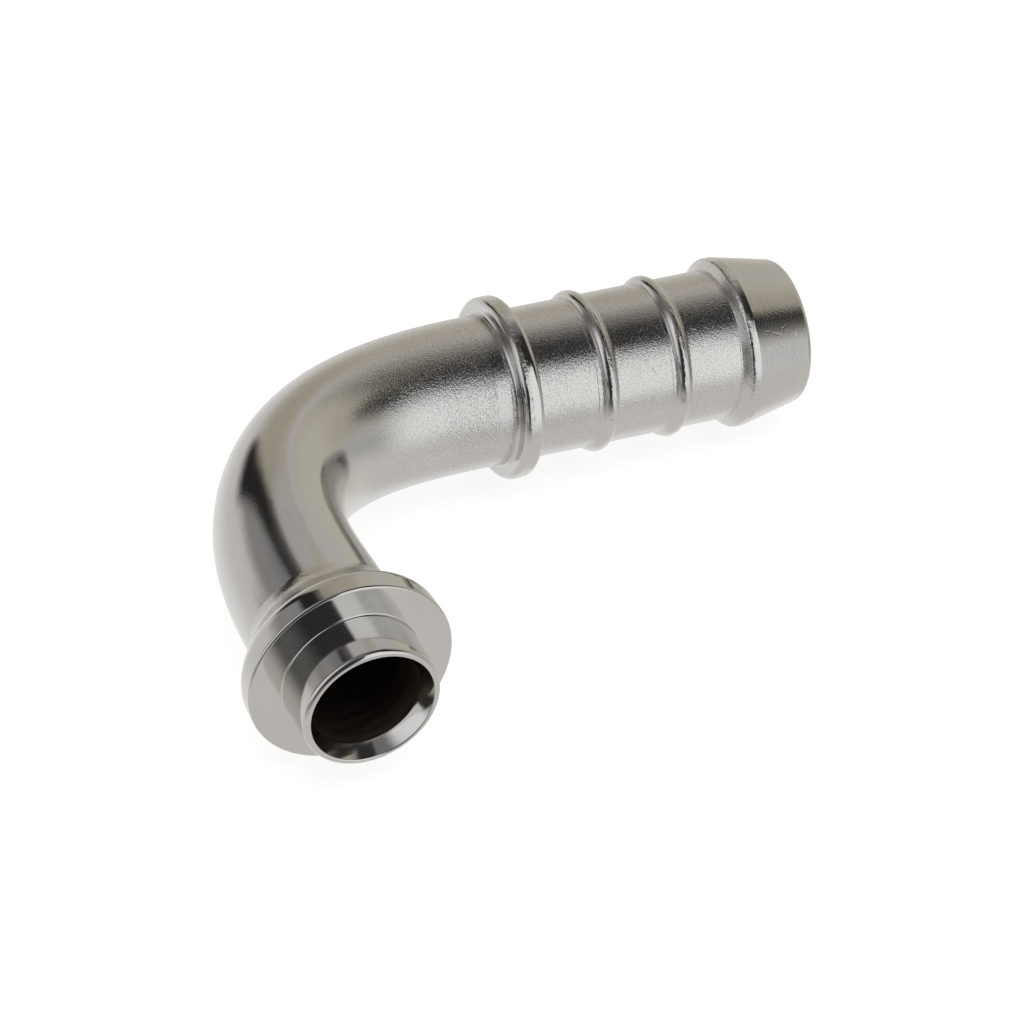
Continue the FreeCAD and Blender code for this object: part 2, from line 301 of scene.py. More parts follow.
@dataclass(frozen=True)
class UnionEnd:
    """The short leg: tube, flared collar with its sealing face, and the spigot.

    Args:
        bend: the bend that the leg grows from.
        face: how far the sealing face stands from the crossing of the leg axes.
        collar: the collar's radius at its face.
        collar_width: how wide its band is.
        shoulder: the band's radius at its back.
        flare_length: how long the flare behind the band is.
        flare_fillet: the rounding where the flare leaves the tube.
        shoulder_round: the rounding between the flare and the band.
        edge_round: the rounding between the band and the face.
        spigot: the spigot's radius.
        spigot_length: how far the spigot stands out of the face.
        foot_fillet: the rounding at the spigot's foot.
        flare_grain: how coarse the satin is on the flare.
        nose_round: the rounding of the spigot's nose.
        rim: the radius at which the nose turns into the mouth.
        turned_lead: how far behind the flare the turned finish starts.
        bright_lead: how far behind the band the bright finish starts.
        rubbed_depth: how far below the collar's radius the skin still rubs.
    """

    bend: Bend
    face: float = 28.95
    collar: float = 8.5
    collar_width: float = 2.05
    shoulder: float = 8.42
    flare_length: float = 3.0
    flare_fillet: float = 3.0
    shoulder_round: float = 1.6
    edge_round: float = 0.22
    spigot: float = 5.7
    spigot_length: float = 4.4
    foot_fillet: float = 0.15
    flare_grain: float = 0.8
    nose_round: float = 0.4
    rim: float = 5.15
    turned_lead: float = 0.6
    bright_lead: float = 0.3
    rubbed_depth: float = 0.3

    @property
    def nose(self) -> float:
        """Where the spigot ends."""
        return self.face + self.spigot_length

    def rings(self) -> list[Ring]:
        """Makes the rings from the spigot's rim back to the bend.

        Returns:
            The rings, in order along the skin.
        """
        back = self.face - self.collar_width
        flare = back - self.flare_length
        outline = Outline((
            Corner(self.nose, self.rim),
            Corner(self.nose, self.spigot, self.nose_round),
            Corner(self.face, self.spigot, self.foot_fillet),
            Corner(self.face, self.collar, self.edge_round),
            Corner(back, self.shoulder, self.shoulder_round),
            Corner(flare, self.bend.neck, self.flare_fillet),
            Corner(self.bend.radius, self.bend.neck),
        ), run_step=0.8)
        made: list[Ring] = []
        for along, radius in outline.points()[:-1]:
            zone = Zone.TURNED if along > flare - self.turned_lead else Zone.DRAWN
            crest = 1.0 if radius > self.collar - self.rubbed_depth else 0.0
            grain = 0.0 if along > back - self.bright_lead else self.flare_grain
            if zone is Zone.DRAWN:
                grain = self.bend.tube_grain
            made.append(union_ring(along, radius, zone=zone, crest=crest, grain=grain))
        return made


@dataclass(frozen=True)
class HoseTail:
    """The long leg: hose stop bead, two round ribs and the last barb.

    Args:
        bend: the bend that the leg grows from.
        stop: where the middle of the hose stop bead stands.
        stop_crest: the bead's radius.
        stop_width: how wide the bead is.
        stop_round: the rounding of its two edges.
        stop_back_fillet: the rounding of its foot towards the bend.
        stop_front_fillet: the rounding of its foot towards the hose.
        ribs: where the middles of the two ribs stand.
        rib_crest: the ribs' radius.
        rib_round: the radius of a rib's round back.
        rib_foot: the rounding of a rib's feet.
        rib_gap: half the stretch of the leg that a rib takes up.
        foot_points: how many points a rib's foot has.
        back_points: how many points half of a rib's round back has.
        barb: where the last barb's back starts.
        barb_back_run: how far the barb's back leans.
        barb_crest_width: how wide its crest is.
        barb_crest: its radius.
        barb_round: the rounding of the crest's two edges.
        barb_foot: the rounding of its foot.
        tail: where the leg ends.
        tip: the radius of the cone at its end.
        tip_round: the rounding of the tip.
        tail_mouth: the radius of the mouth's outer edge.
        crest_reach: how far from a ragged line it still counts.
        crest_depth: how far below a crest the skin still rubs.
        stop_line: how far from the bead's middle its ragged line stands.
        rib_line: how far from a rib's or the barb's top its ragged line stands.
        cone_grain: how coarse the satin is on the barb.
        crest_grain: how coarse it is on the bead and the ribs.
        land_play: how far from the tube's radius a land reaches.
    """

    bend: Bend
    stop: float = 25.0
    stop_crest: float = 7.62
    stop_width: float = 1.75
    stop_round: float = 0.52
    stop_back_fillet: float = 0.35
    stop_front_fillet: float = 0.2
    ribs: tuple[float, float] = (32.35, 38.95)
    rib_crest: float = 6.78
    rib_round: float = 0.66
    rib_foot: float = 0.15
    rib_gap: float = 0.9
    foot_points: int = 5
    back_points: int = 10
    barb: float = 44.4
    barb_back_run: float = 0.45
    barb_crest_width: float = 0.7
    barb_crest: float = 7.15
    barb_round: float = 0.3
    barb_foot: float = 0.15
    tail: float = 50.85
    tip: float = 6.0
    tip_round: float = 0.55
    tail_mouth: float = 4.55
    crest_reach: float = 1.6
    crest_depth: float = 0.35
    stop_line: float = -0.30
    rib_line: float = 0.05
    cone_grain: float = 0.45
    crest_grain: float = 0.1
    land_play: float = 0.02

    def outline(self) -> np.ndarray:
        """Draws the outline from the bend to the mouth of the tail.

        Returns:
            Rows of (along, radius), ribs included.
        """
        land = self.bend.tube
        half = self.stop_width / 2
        crest_back = self.barb + self.barb_back_run
        crest_front = crest_back + self.barb_crest_width
        first, second = self.ribs
        before = Outline((
            Corner(self.bend.radius, land),
            Corner(self.stop - half, land, self.stop_back_fillet),
            Corner(self.stop - half, self.stop_crest, self.stop_round),
            Corner(self.stop + half, self.stop_crest, self.stop_round),
            Corner(self.stop + half, land, self.stop_front_fillet),
            Corner(first - self.rib_gap, land),
        ), arc_step=9.0, run_step=2.0).points()[1:]
        between = Outline((
            Corner(first + self.rib_gap, land),
            Corner(second - self.rib_gap, land),
        )).points()
        after = Outline((
            Corner(second + self.rib_gap, land),
            Corner(self.barb, land, self.barb_foot),
            Corner(crest_back, self.barb_crest, self.barb_round),
            Corner(crest_front, self.barb_crest, self.barb_round),
            Corner(self.tail, self.tip, self.tip_round),
            Corner(self.tail, self.tail_mouth),
        ), arc_step=10.0, run_step=1.2).points()
        return np.vstack((before, self.rib(first), between, self.rib(second), after))

    def rib(self, along: float) -> np.ndarray:
        """The outline of one round rib with its small foot fillets.

        Args:
            along: where the rib's middle stands.

        Returns:
            Rows of (along, radius), left foot to right foot.
        """
        land = self.bend.tube
        ring = self.rib_crest - self.rib_round
        reach = self.rib_round + self.rib_foot
        rise = land + self.rib_foot - ring
        spread = math.sqrt(reach ** 2 - rise ** 2)
        lean = math.atan2(rise, spread)
        left: list[tuple[float, float]] = []
        for share in np.linspace(0.0, 1.0, self.foot_points):
            angle = -math.pi / 2 + (math.pi / 2 - lean) * share
            left.append((-spread + self.rib_foot * math.cos(angle),
                         land + self.rib_foot + self.rib_foot * math.sin(angle)))
        for share in np.linspace(0.08, 1.0, self.back_points):
            angle = math.pi - lean - (math.pi / 2 - lean) * share
            left.append((self.rib_round * math.cos(angle),
                         ring + self.rib_round * math.sin(angle)))
        half = np.array(left)
        right = half[-2::-1] * np.array((-1.0, 1.0))
        return np.vstack((half, right)) + np.array((along, 0.0))

    def rings(self) -> list[Ring]:
        """Makes the rings from the bend to the mouth of the tail.

        Returns:
            The rings, in order along the skin.
        """
        made: list[Ring] = []
        for along, radius in self.outline():
            crest, burr = 0.0, NO_CREST
            for place, height in self.crests():
                if abs(along - place) < self.crest_reach:
                    burr = along - place
                    crest = 1.0 if radius > height - self.crest_depth else 0.0
            if along > self.barb:
                grain = self.cone_grain
            else:
                grain = 1.0 if radius < self.bend.tube + self.land_play else self.crest_grain
            made.append(hose_ring(along, radius, zone=Zone.TURNED, crest=crest,
                                  grain=grain, burr=burr))
        return made

    def crests(self) -> tuple[tuple[float, float], ...]:
        """Says where the ragged line of each crest stands.

        Returns:
            Its place along the leg and the crest's radius, for each crest.
        """
        barb_top = self.barb + self.barb_back_run
        return ((self.stop + self.stop_line, self.stop_crest),
                (self.ribs[0] + self.rib_line, self.rib_crest),
                (self.ribs[1] + self.rib_line, self.rib_crest),
                (barb_top + self.rib_line, self.barb_crest))


@dataclass(frozen=True)
class Waterway:
    """The bored way through the fitting, from the tail's mouth to the spigot's rim.

    Args:
        bend: the bend round it.
        union: the short leg.
        hose: the long leg.
        bore: its radius in the short leg and the bend.
        drilled: its radius in the long leg.
        throat_depth: how deep the tapered mouth in the spigot is.
        tail_chamfer: the size of the chamfer at the tail's mouth.
        lead: how far before its bend the drilled stretch ends.
        steps: how many steps its bend is built in.
        throat_rings: how many rings the straight stretch in the short leg has.
    """

    bend: Bend
    union: UnionEnd
    hose: HoseTail
    bore: float = 4.5
    drilled: float = 4.25
    throat_depth: float = 1.3
    tail_chamfer: float = 0.3
    lead: float = 0.1
    steps: int = 20
    throat_rings: int = 4

    @property
    def arc(self) -> float:
        """The radius of the bore's bend, which keeps it in the middle of the crown."""
        return self.bend.radius - self.bend.shift * (1 + math.sqrt(2))

    def rings(self) -> list[Ring]:
        """Makes the rings from the tail's chamfer, through the bore, to the spigot's mouth.

        Returns:
            The rings, in order along the skin.
        """
        inside = {"metal": Metal.WATERWAY}
        made: list[Ring] = []
        straight = Outline((
            Corner(self.hose.tail - self.tail_chamfer, self.drilled),
            Corner(self.arc + self.lead, self.drilled),
        ), run_step=6.0)
        for along, radius in straight.points():
            made.append(hose_ring(along, radius, **inside))
        for step in range(self.steps + 1):
            angle = math.pi / 2 * step / self.steps
            sine, cosine = math.sin(angle), math.cos(angle)
            centre = (self.arc - self.arc * sine, self.arc * cosine - self.arc)
            made.append(Ring(centre, (-sine, cosine), self.bore, self.bore, **inside))
        throat = self.union.nose - self.throat_depth
        for along in np.linspace(self.arc, throat, self.throat_rings + 1)[1:]:
            made.append(union_ring(float(along), self.bore, **inside))
        mouth = Outline((Corner(throat, self.bore), Corner(self.union.nose, self.union.rim)),
                        run_step=0.5)
        for along, radius in mouth.points()[1:-1]:
            made.append(union_ring(along, radius, zone=Zone.TURNED))
        return made


@dataclass(frozen=True)
class Lie:
    """How the fitting lies in the frame of the record, from its two bore mounts.

    Args:
        corner: where the leg axes cross, in metres.
        hose_leg: the direction of the hose leg.
        union_leg: the direction of the union leg.
    """

    corner: Vector
    hose_leg: Vector
    union_leg: Vector

    @classmethod
    def from_record(cls, record: dict, face: float) -> "Lie":
        """Reads the lie from the record.

        Args:
            record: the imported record.
            face: distance from the corner to the sealing face, in millimetres.

        Returns:
            The lie.
        """
        mounts = {mount["name"]: mount for mount in record["mounts"]}
        union = mounts["union_bore"]
        union_leg = Vector(union["axis"]).normalized()
        hose_leg = Vector(mounts["hose_bore"]["axis"]).normalized()
        corner = Vector(union["pos_m"]) - union_leg * face * MM
        return cls(corner, hose_leg, union_leg)

    def matrix(self) -> Matrix:
        """Works out the transform from bench millimetres to the record's metres.

        Returns:
            The transform.
        """
        along, across = self.hose_leg, -self.union_leg
        up = along.cross(across)
        turn = Matrix((along, across, up)).transposed().to_4x4()
        return Matrix.Translation(self.corner) @ turn @ Matrix.Scale(MM, 4)


@dataclass(frozen=True)
class Knocks:
    """Small knocks that handling has left on the crests.

    Args:
        rows: (x, y, bearing, reach along, reach around, depth) of each knock.
    """

    rows: np.ndarray

    @classmethod
    def scatter(cls, hose: HoseTail, union: UnionEnd, seed: int = 11,
                per_crest: int = 34, on_collar: int = 9) -> "Knocks":
        """Strews knocks over the crests of the hose tail and the collar.

        Args:
            hose: the ribbed leg.
            union: the leg with the collar.
            seed: what the chance numbers start from.
            per_crest: how many knocks each crest of the hose leg gets.
            on_collar: how many the collar gets.

        Returns:
            The knocks, the same ones each time.
        """
        chance = np.random.default_rng(seed)
        rows: list[tuple[float, ...]] = []
        for place, _ in hose.crests():
            for _ in range(per_crest):
                along = place + chance.normal(0.05, 0.16)
                bearing = chance.uniform(0.0, math.tau)
                reach = (chance.uniform(0.09, 0.2), chance.uniform(0.12, 0.5))
                rows.append((along, 0.0, bearing, *reach, chance.uniform(0.008, 0.04)))
        for _ in range(on_collar):
            behind = chance.uniform(0.1, 1.2) - union.face
            bearing = chance.uniform(0.0, math.tau)
            reach = (0.15, chance.uniform(0.1, 0.3))
            rows.append((0.0, behind, bearing, *reach, chance.uniform(0.006, 0.015)))
        return cls(np.array(rows))

    def depth(self, ring: Ring, turn: np.ndarray) -> np.ndarray:
        """How deep the skin of one ring is knocked in.

        Args:
            ring: the ring.
            turn: the bearings of its points.

        Returns:
            The depth at each point, in millimetres.
        """
        along = np.hypot(self.rows[:, 0] - ring.centre[0], self.rows[:, 1] - ring.centre[1])
        swing = (turn[:, None] - self.rows[None, :, 2] + math.pi) % math.tau - math.pi
        share = (along / self.rows[:, 3])[None, :] ** 2 + (swing * ring.wide / self.rows[:, 4]) ** 2
        return (self.rows[:, 5] * np.exp(-share)).sum(axis=1)


@dataclass
class Skin:
    """The closed surface of the whole fitting.

    Args:
        bend: the bend that all the rest grows from.
        name: the piece's name.
    """

    bend: Bend = field(default_factory=Bend)

    name: str = "elbow_skin"

    def __post_init__(self) -> None:
        """Makes the sub-assemblies that share the bend, and strews the knocks.

        The waterway comes last, since it follows the sizes of both legs.
        """
        self.union = UnionEnd(self.bend)
        self.hose = HoseTail(self.bend)
        self.waterway = Waterway(self.bend, self.union, self.hose)
        self.knocks = Knocks.scatter(self.hose, self.union)

    def rings(self) -> list[Ring]:
        """Every ring of the skin, in order, for a chain that closes on itself."""
        return (self.union.rings() + self.bend.rings() + self.hose.rings()
                + self.waterway.rings())

    def build(self, lie: Lie) -> bpy.types.Object:
        """Builds the mesh.

        Args:
            lie: how the fitting lies.

        Returns:
            The mesh object, in the frame of the record.
        """
        rings = self.rings()
        turn = np.linspace(0.0, math.tau, AROUND, endpoint=False)
        places = self.places(rings, turn)
        mesh = bpy.data.meshes.new(self.name)
        mesh.from_pydata(places.reshape(-1, 3).tolist(), [], self.faces(len(rings)).tolist())
        metal = np.repeat([ring.metal.value for ring in rings], AROUND)
        mesh.polygons.foreach_set("material_index", metal.astype(np.int32))
        mesh.polygons.foreach_set("use_smooth", np.ones(len(metal), bool))
        self.store(mesh, rings, turn, places)
        mesh.transform(lie.matrix())
        mesh.update()
        piece = bpy.data.objects.new(self.name, mesh)
        bpy.context.scene.collection.objects.link(piece)
        LOG.info("%s: %d rings, %d faces", self.name, len(rings), len(mesh.polygons))
        return piece

    def dress(self, piece: bpy.types.Object) -> None:
        """Gives the skin its two finishes, in the order of the material slots.

        Args:
            piece: the built skin.
        """
        # The second finish's dark tint is painted shade of the bore.
        for finish in (NickelPlating(self.bend.tube), BoredMetalPaintedShade()):
            piece.data.materials.append(finish.material())
            LOG.info("%s: dressed with %s", self.name, finish.name)

    def places(self, rings: list[Ring], turn: np.ndarray) -> np.ndarray:
        """Works out where the skin's points stand on the bench.

        Args:
            rings: the rings, in order.
            turn: the bearings of a ring's points.

        Returns:
            The places by ring, bearing and axis, in millimetres.
        """
        cosine, sine = np.cos(turn), np.sin(turn)
        places = np.zeros((len(rings), AROUND, 3))
        for index, ring in enumerate(rings):
            play = PLAY if ring.metal is Metal.PLATING else 0.0
            wide, tall = ring.wide - play, ring.tall - play
            if ring.crest > 0.0:
                knocked = self.knocks.depth(ring, turn)
                wide, tall = wide - knocked, tall - knocked
            for axis in (0, 1):
                places[index, :, axis] = ring.centre[axis] + ring.outward[axis] * wide * cosine
            places[index, :, 2] = tall * sine
        places[:, :, 0] = np.minimum(places[:, :, 0], self.hose.tail - PLAY)
        places[:, :, 1] = np.maximum(places[:, :, 1], PLAY - self.union.nose)
        return places

    @staticmethod
    def faces(count: int) -> np.ndarray:
        """Joins each ring to the next, and the last one to the first.

        Args:
            count: how many rings there are.

        Returns:
            The four points of each face.
        """
        here = np.arange(count)[:, None] * AROUND
        ahead = ((np.arange(count) + 1) % count)[:, None] * AROUND
        column = np.arange(AROUND)[None, :]
        beside = (column + 1) % AROUND
        corners = (here + column, here + beside, ahead + beside, ahead + column)
        return np.stack(corners, -1).reshape(-1, 4)

    def store(self, mesh: bpy.types.Mesh, rings: list[Ring], turn: np.ndarray,
              places: np.ndarray) -> None:
        """Stores what the finishes read at each point of the skin.

        Args:
            mesh: the skin's mesh.
            rings: the rings, in order.
            turn: the bearings of a ring's points.
            places: where the points stand on the bench.
        """
        count = len(rings)
        self.mark(mesh, "turned", np.repeat([ring.zone.value for ring in rings], AROUND))
        self.mark(mesh, "crest", np.repeat([ring.crest for ring in rings], AROUND))
        self.mark(mesh, "grain", np.repeat([ring.grain for ring in rings], AROUND))
        self.mark(mesh, "burr", np.repeat([ring.burr for ring in rings], AROUND))
        self.mark_place(mesh, "bench", places.reshape(-1, 3))
        centres = np.repeat([ring.centre for ring in rings], AROUND, axis=0)
        arc = np.tile(turn * self.bend.tube, count)[:, None]
        self.mark_place(mesh, "unrolled", np.hstack((centres, arc)))
        station = np.repeat(self.stations(rings), AROUND)
        round_places = (np.tile(np.cos(turn), count), np.tile(np.sin(turn), count))
        self.mark_place(mesh, "turning", np.stack((station, *round_places), -1))

    @staticmethod
    def stations(rings: list[Ring]) -> np.ndarray:
        """Works out how far along the skin each ring stands.

        Args:
            rings: the rings, in order.

        Returns:
            The distance from the first ring, in millimetres, for each ring.
        """
        steps = [0.0]
        for before, after in zip(rings, rings[1:]):
            steps.append(math.hypot(math.dist(before.centre, after.centre),
                                    after.wide - before.wide))
        return np.cumsum(steps)

    @staticmethod
    def mark(mesh: bpy.types.Mesh, name: str, values: np.ndarray) -> None:
        """Stores one number per point of the mesh."""
        attribute = mesh.attributes.new(name, "FLOAT", "POINT")
        attribute.data.foreach_set("value", values.astype(np.float32))

    @staticmethod
    def mark_place(mesh: bpy.types.Mesh, name: str, values: np.ndarray) -> None:
        """Stores three numbers per point of the mesh."""
        attribute = mesh.attributes.new(name, "FLOAT_VECTOR", "POINT")
        attribute.data.foreach_set("vector", values.astype(np.float32).ravel())


class Nodes:
    """A short way to write a material's nodes."""

    def __init__(self, tree: bpy.types.NodeTree) -> None:
        """Starts with an empty tree."""
        self.tree = tree
        tree.nodes.clear()

    def add(self, kind: str, inputs: dict[str | int, Feed] | None = None,
            **settings: object) -> bpy.types.Node:
        """Adds a node.

        Args:
            kind: the node's type, without the ShaderNode in front.
            inputs: socket name or number, with a value or the socket that feeds it.
            **settings: the node's own properties.

        Returns:
            The node.
        """
        node = self.tree.nodes.new("ShaderNode" + kind)
        for name, value in settings.items():
            setattr(node, name, value)
        for name, value in (inputs or {}).items():
            if isinstance(value, bpy.types.NodeSocket):
                self.tree.links.new(value, node.inputs[name])
            else:
                node.inputs[name].default_value = value
        return node

    def attribute(self, name: str, output: str = "Fac") -> Socket:
        """What the skin's points store under a name, as a number or a Vector."""
        return self.add("Attribute", attribute_name=name).outputs[output]

    def math(self, operation: str, first: Feed, second: Feed = 0.0) -> Socket:
        """The result of a Math node."""
        return self.add("Math", {0: first, 1: second}, operation=operation).outputs[0]

    def product(self, first: Feed, *others: Feed) -> Socket:
        """The first value times all the others, from left to right."""
        return reduce(lambda so_far, value: self.math("MULTIPLY", so_far, value), others, first)

    def total(self, first: Feed, *others: Feed) -> Socket:
        """The sum of the values, from left to right."""
        return reduce(lambda so_far, value: self.math("ADD", so_far, value), others, first)

    def vector(self, operation: str, first: Feed, second: Feed = (0.0, 0.0, 0.0)) -> Socket:
        """The vector that a Vector Math node gives."""
        return self.add("VectorMath", {0: first, 1: second}, operation=operation).outputs[0]

    def measure(self, operation: str, first: Feed, second: Feed = (0.0, 0.0, 0.0)) -> Socket:
        """The number that a Vector Math node gives."""
        return self.add("VectorMath", {0: first, 1: second}, operation=operation).outputs[1]

    def ramp(self, value: Feed, low: float, high: float, start: float = 0.0,
             end: float = 1.0, smooth: bool = True) -> Socket:
        """Maps a value from one range to another, held at both ends.

        Args:
            value: what is mapped.
            low: the value that gives the start.
            high: the value that gives the end.
            start: the result at and below the low value.
            end: the result at and above the high value.
            smooth: whether the ramp eases in and out.

        Returns:
            The socket of the mapped value.
        """
        kind = "SMOOTHSTEP" if smooth else "LINEAR"
        ends = {"From Min": low, "From Max": high, "To Min": start, "To Max": end}
        node = self.add("MapRange", {"Value": value, **ends}, interpolation_type=kind, clamp=True)
        return node.outputs["Result"]

    def mix(self, share: Feed, first: Feed, second: Feed) -> Socket:
        """Mixes two colours."""
        return self.add("Mix", {0: share, 6: first, 7: second}, data_type="RGBA").outputs[2]

    def noise(self, vector: Feed, scale: float, detail: float = 2.0,
              roughness: float = 0.5) -> Socket:
        """The value of a noise texture."""
        inputs = {"Vector": vector, "Scale": scale, "Detail": detail, "Roughness": roughness}
        return self.add("TexNoise", inputs).outputs[0]


class Leg(Enum):
    """Which way a leg's axis runs on the bench."""

    HOSE = (1.0, 0.0)
    UNION = (0.0, -1.0)


@dataclass(frozen=True)
class Mark:
    """A scratch or clamp mark: a short groove on the unrolled skin.

    Args:
        leg: the leg that it is on.
        along: how far from the corner its middle stands, in millimetres.
        bearing: the angle round the leg of its middle, in degrees.
        length: how long it is.
        slant: its angle to the leg's axis, in degrees.
        width: how wide it is.
        depth: how deep it is.
    """

    leg: Leg
    along: float
    bearing: float
    length: float
    slant: float
    width: float = 0.05
    depth: float = 0.006

    def relief(self, nodes: Nodes, unrolled: Socket, tube: float) -> Socket:
        """Cuts the mark.

        Args:
            nodes: the material's nodes.
            unrolled: the place on the unrolled skin.
            tube: the radius that the skin is unrolled from.

        Returns:
            The socket of its depth in millimetres, below zero.
        """
        ahead, slant = self.leg.value, math.radians(self.slant)
        middle = (self.along * ahead[0], self.along * ahead[1], math.radians(self.bearing) * tube)
        run = (ahead[0] * math.cos(slant), ahead[1] * math.cos(slant), math.sin(slant))
        offset = nodes.vector("SUBTRACT", unrolled, middle)
        lengthwise = nodes.math("ABSOLUTE", nodes.measure("DOT_PRODUCT", offset, run))
        aside = nodes.measure("LENGTH", nodes.vector("CROSS_PRODUCT", offset, run))
        end = self.length / 2
        within = nodes.ramp(lengthwise, end - self.width, end + self.width, -self.depth, 0.0)
        return nodes.product(within, nodes.ramp(aside, 0.0, self.width, 1.0, 0.0))


MARKS: tuple[Mark, ...] = (
    Mark(Leg.UNION, 24.20, 54.0, 2.4, 75.0, 0.26, 0.022),
    Mark(Leg.UNION, 23.58, 74.0, 1.6, 74.0, 0.24, 0.018),
    Mark(Leg.HOSE, 46.40, 150.0, 0.60, 60.0, 0.06, 0.010),
    Mark(Leg.HOSE, 47.95, 150.5, 0.55, 50.0, 0.06, 0.012),
    Mark(Leg.HOSE, 48.35, 152.5, 0.50, -65.0, 0.06, 0.010),
    Mark(Leg.HOSE, 47.50, 141.0, 0.90, 25.0, 0.10, 0.008),
    Mark(Leg.HOSE, 48.30, 137.0, 0.55, -30.0, 0.09, 0.008),
    Mark(Leg.HOSE, 49.30, 144.0, 0.35, 80.0, 0.07, 0.010),
    Mark(Leg.HOSE, 46.60, 138.0, 0.40, 10.0, 0.08, 0.008),
    Mark(Leg.HOSE, 40.50, 125.0, 0.45, 20.0, 0.06, 0.010),
    Mark(Leg.HOSE, 36.30, 150.0, 0.70, 70.0, 0.06, 0.009),
    Mark(Leg.HOSE, 35.50, 124.0, 0.40, -40.0, 0.05, 0.008),
    Mark(Leg.HOSE, 37.20, 205.0, 0.50, 15.0, 0.08, 0.006),
)


@dataclass(frozen=True)
class NickelPlating:
    """Satin nickel over drawn and turned brass.

    Args:
        tube: the radius that the skin is unrolled from.
        bright: the tint of the brighter clouds.
        dull: the tint of the duller clouds.
        cloud_scale: how many clouds there are to a millimetre.
        cloud_rough: how much less and more rough the clouds make the skin.
        polished: the roughness without grain.
        satin: the roughness of the full grain.
        crest_polish: how much smoother a rubbed crest is.
        comb: how the grain is stretched.
        grain_scale: how many grains there are to a millimetre.
        grain_relief: how deep the full grain is.
        speckle: how much lighter and darker the full grain is than the tint.
        wave_relief: how deep the soft waves of the tube are.
        lathe: how the tool's rings are stretched: lengthwise, round, round.
        lathe_relief: how deep the tool's rings are.
        ragged_width: half the width of a crest's ragged line.
        ragged_stray: how far the line strays to each side.
        ragged_relief: how deep it is.
        chip_relief: how deep and high the chips beside it are.
        speck_relief: how deep the small specks are.
        name: the material's name.
    """

    tube: float
    bright: tuple[float, ...] = (0.680, 0.670, 0.650, 1.0)
    dull: tuple[float, ...] = (0.645, 0.635, 0.615, 1.0)
    cloud_scale: float = 0.16
    cloud_rough: tuple[float, float] = (-0.012, 0.018)
    polished: float = 0.085
    satin: float = 0.13
    crest_polish: float = 0.055
    comb: tuple[float, float, float] = (1.0, 0.75, 0.75)
    grain_scale: float = 10.0
    grain_relief: float = 0.024
    speckle: float = 0.11
    wave_relief: float = 0.010
    lathe: tuple[float, float, float] = (6.0, 1.3, 1.3)
    lathe_relief: float = 0.0012
    ragged_width: float = 0.10
    ragged_stray: float = 0.22
    ragged_relief: float = 0.016
    chip_relief: float = 0.008
    speck_relief: float = 0.006
    name: str = "nickel_plating"

    def material(self) -> bpy.types.Material:
        """Builds the finish.

        Returns:
            The material.
        """
        material = bpy.data.materials.new(self.name)
        material.use_nodes = True
        nodes = Nodes(material.node_tree)
        bench = nodes.attribute("bench", "Vector")
        grain = nodes.attribute("grain")
        cloud = nodes.noise(bench, self.cloud_scale, 4.0)
        fine = nodes.noise(nodes.vector("MULTIPLY", bench, self.comb), self.grain_scale, 1.0, 0.6)
        relief = nodes.total(
            self.satin_relief(nodes, bench, fine, grain), self.turned_relief(nodes),
            self.crest_relief(nodes, bench), self.marks_relief(nodes))
        bump = nodes.add("Bump", {"Strength": 1.0, "Distance": MM, "Height": relief})
        shader = nodes.add("BsdfPrincipled", {
            "Base Color": self.tint(nodes, cloud, fine, grain), "Metallic": 1.0,
            "Roughness": self.roughness(nodes, cloud, grain), "Normal": bump.outputs[0]})
        nodes.add("OutputMaterial", {"Surface": shader.outputs[0]})
        return material

    def tint(self, nodes: Nodes, cloud: Socket, fine: Socket, grain: Socket) -> Socket:
        """Tints the metal in soft clouds with the grain's speckle over them.

        Args:
            nodes: the material's nodes.
            cloud: the noise of the clouds.
            fine: the noise of the grain.
            grain: how coarse the satin is.

        Returns:
            The socket of the colour.
        """
        clouded = nodes.mix(nodes.ramp(cloud, 0.35, 0.65), self.dull, self.bright)
        speck = nodes.ramp(fine, 0.3, 0.7, -self.speckle, self.speckle, smooth=False)
        level = nodes.total(nodes.product(speck, grain), 1.0)
        return nodes.add("VectorMath", {0: clouded, "Scale": level}, operation="SCALE").outputs[0]

    def roughness(self, nodes: Nodes, cloud: Socket, grain: Socket) -> Socket:
        """Roughens the satin, and leaves the rubbed crests smoother.

        Args:
            nodes: the material's nodes.
            cloud: the noise of the clouds.
            grain: how coarse the satin is.

        Returns:
            The socket of the roughness.
        """
        satin = nodes.ramp(grain, 0.0, 1.0, self.polished, self.satin, smooth=False)
        clouded = nodes.total(satin, nodes.ramp(cloud, 0.3, 0.7, *self.cloud_rough))
        rubbed = nodes.product(nodes.attribute("crest"), self.crest_polish)
        return nodes.math("SUBTRACT", clouded, rubbed)

    def satin_relief(self, nodes: Nodes, bench: Socket, fine: Socket, grain: Socket) -> Socket:
        """Raises the fine grain of the satin and the soft waves of the drawn tube.

        Args:
            nodes: the material's nodes.
            bench: the place on the bench.
            fine: the noise of the grain.
            grain: how coarse the satin is.

        Returns:
            The socket of the relief in millimetres.
        """
        wave = nodes.product(nodes.noise(bench, 0.5, 2.0), self.wave_relief)
        return nodes.total(nodes.product(fine, self.grain_relief, grain), wave)

    def turned_relief(self, nodes: Nodes) -> Socket:
        """Cuts the fine rings that the turning tool left.

        Args:
            nodes: the material's nodes.

        Returns:
            The socket of the relief in millimetres.
        """
        lines = nodes.vector("MULTIPLY", nodes.attribute("turning", "Vector"), self.lathe)
        cut = nodes.noise(lines, 1.0, 3.0, 0.6)
        return nodes.product(cut, self.lathe_relief, nodes.attribute("turned"))

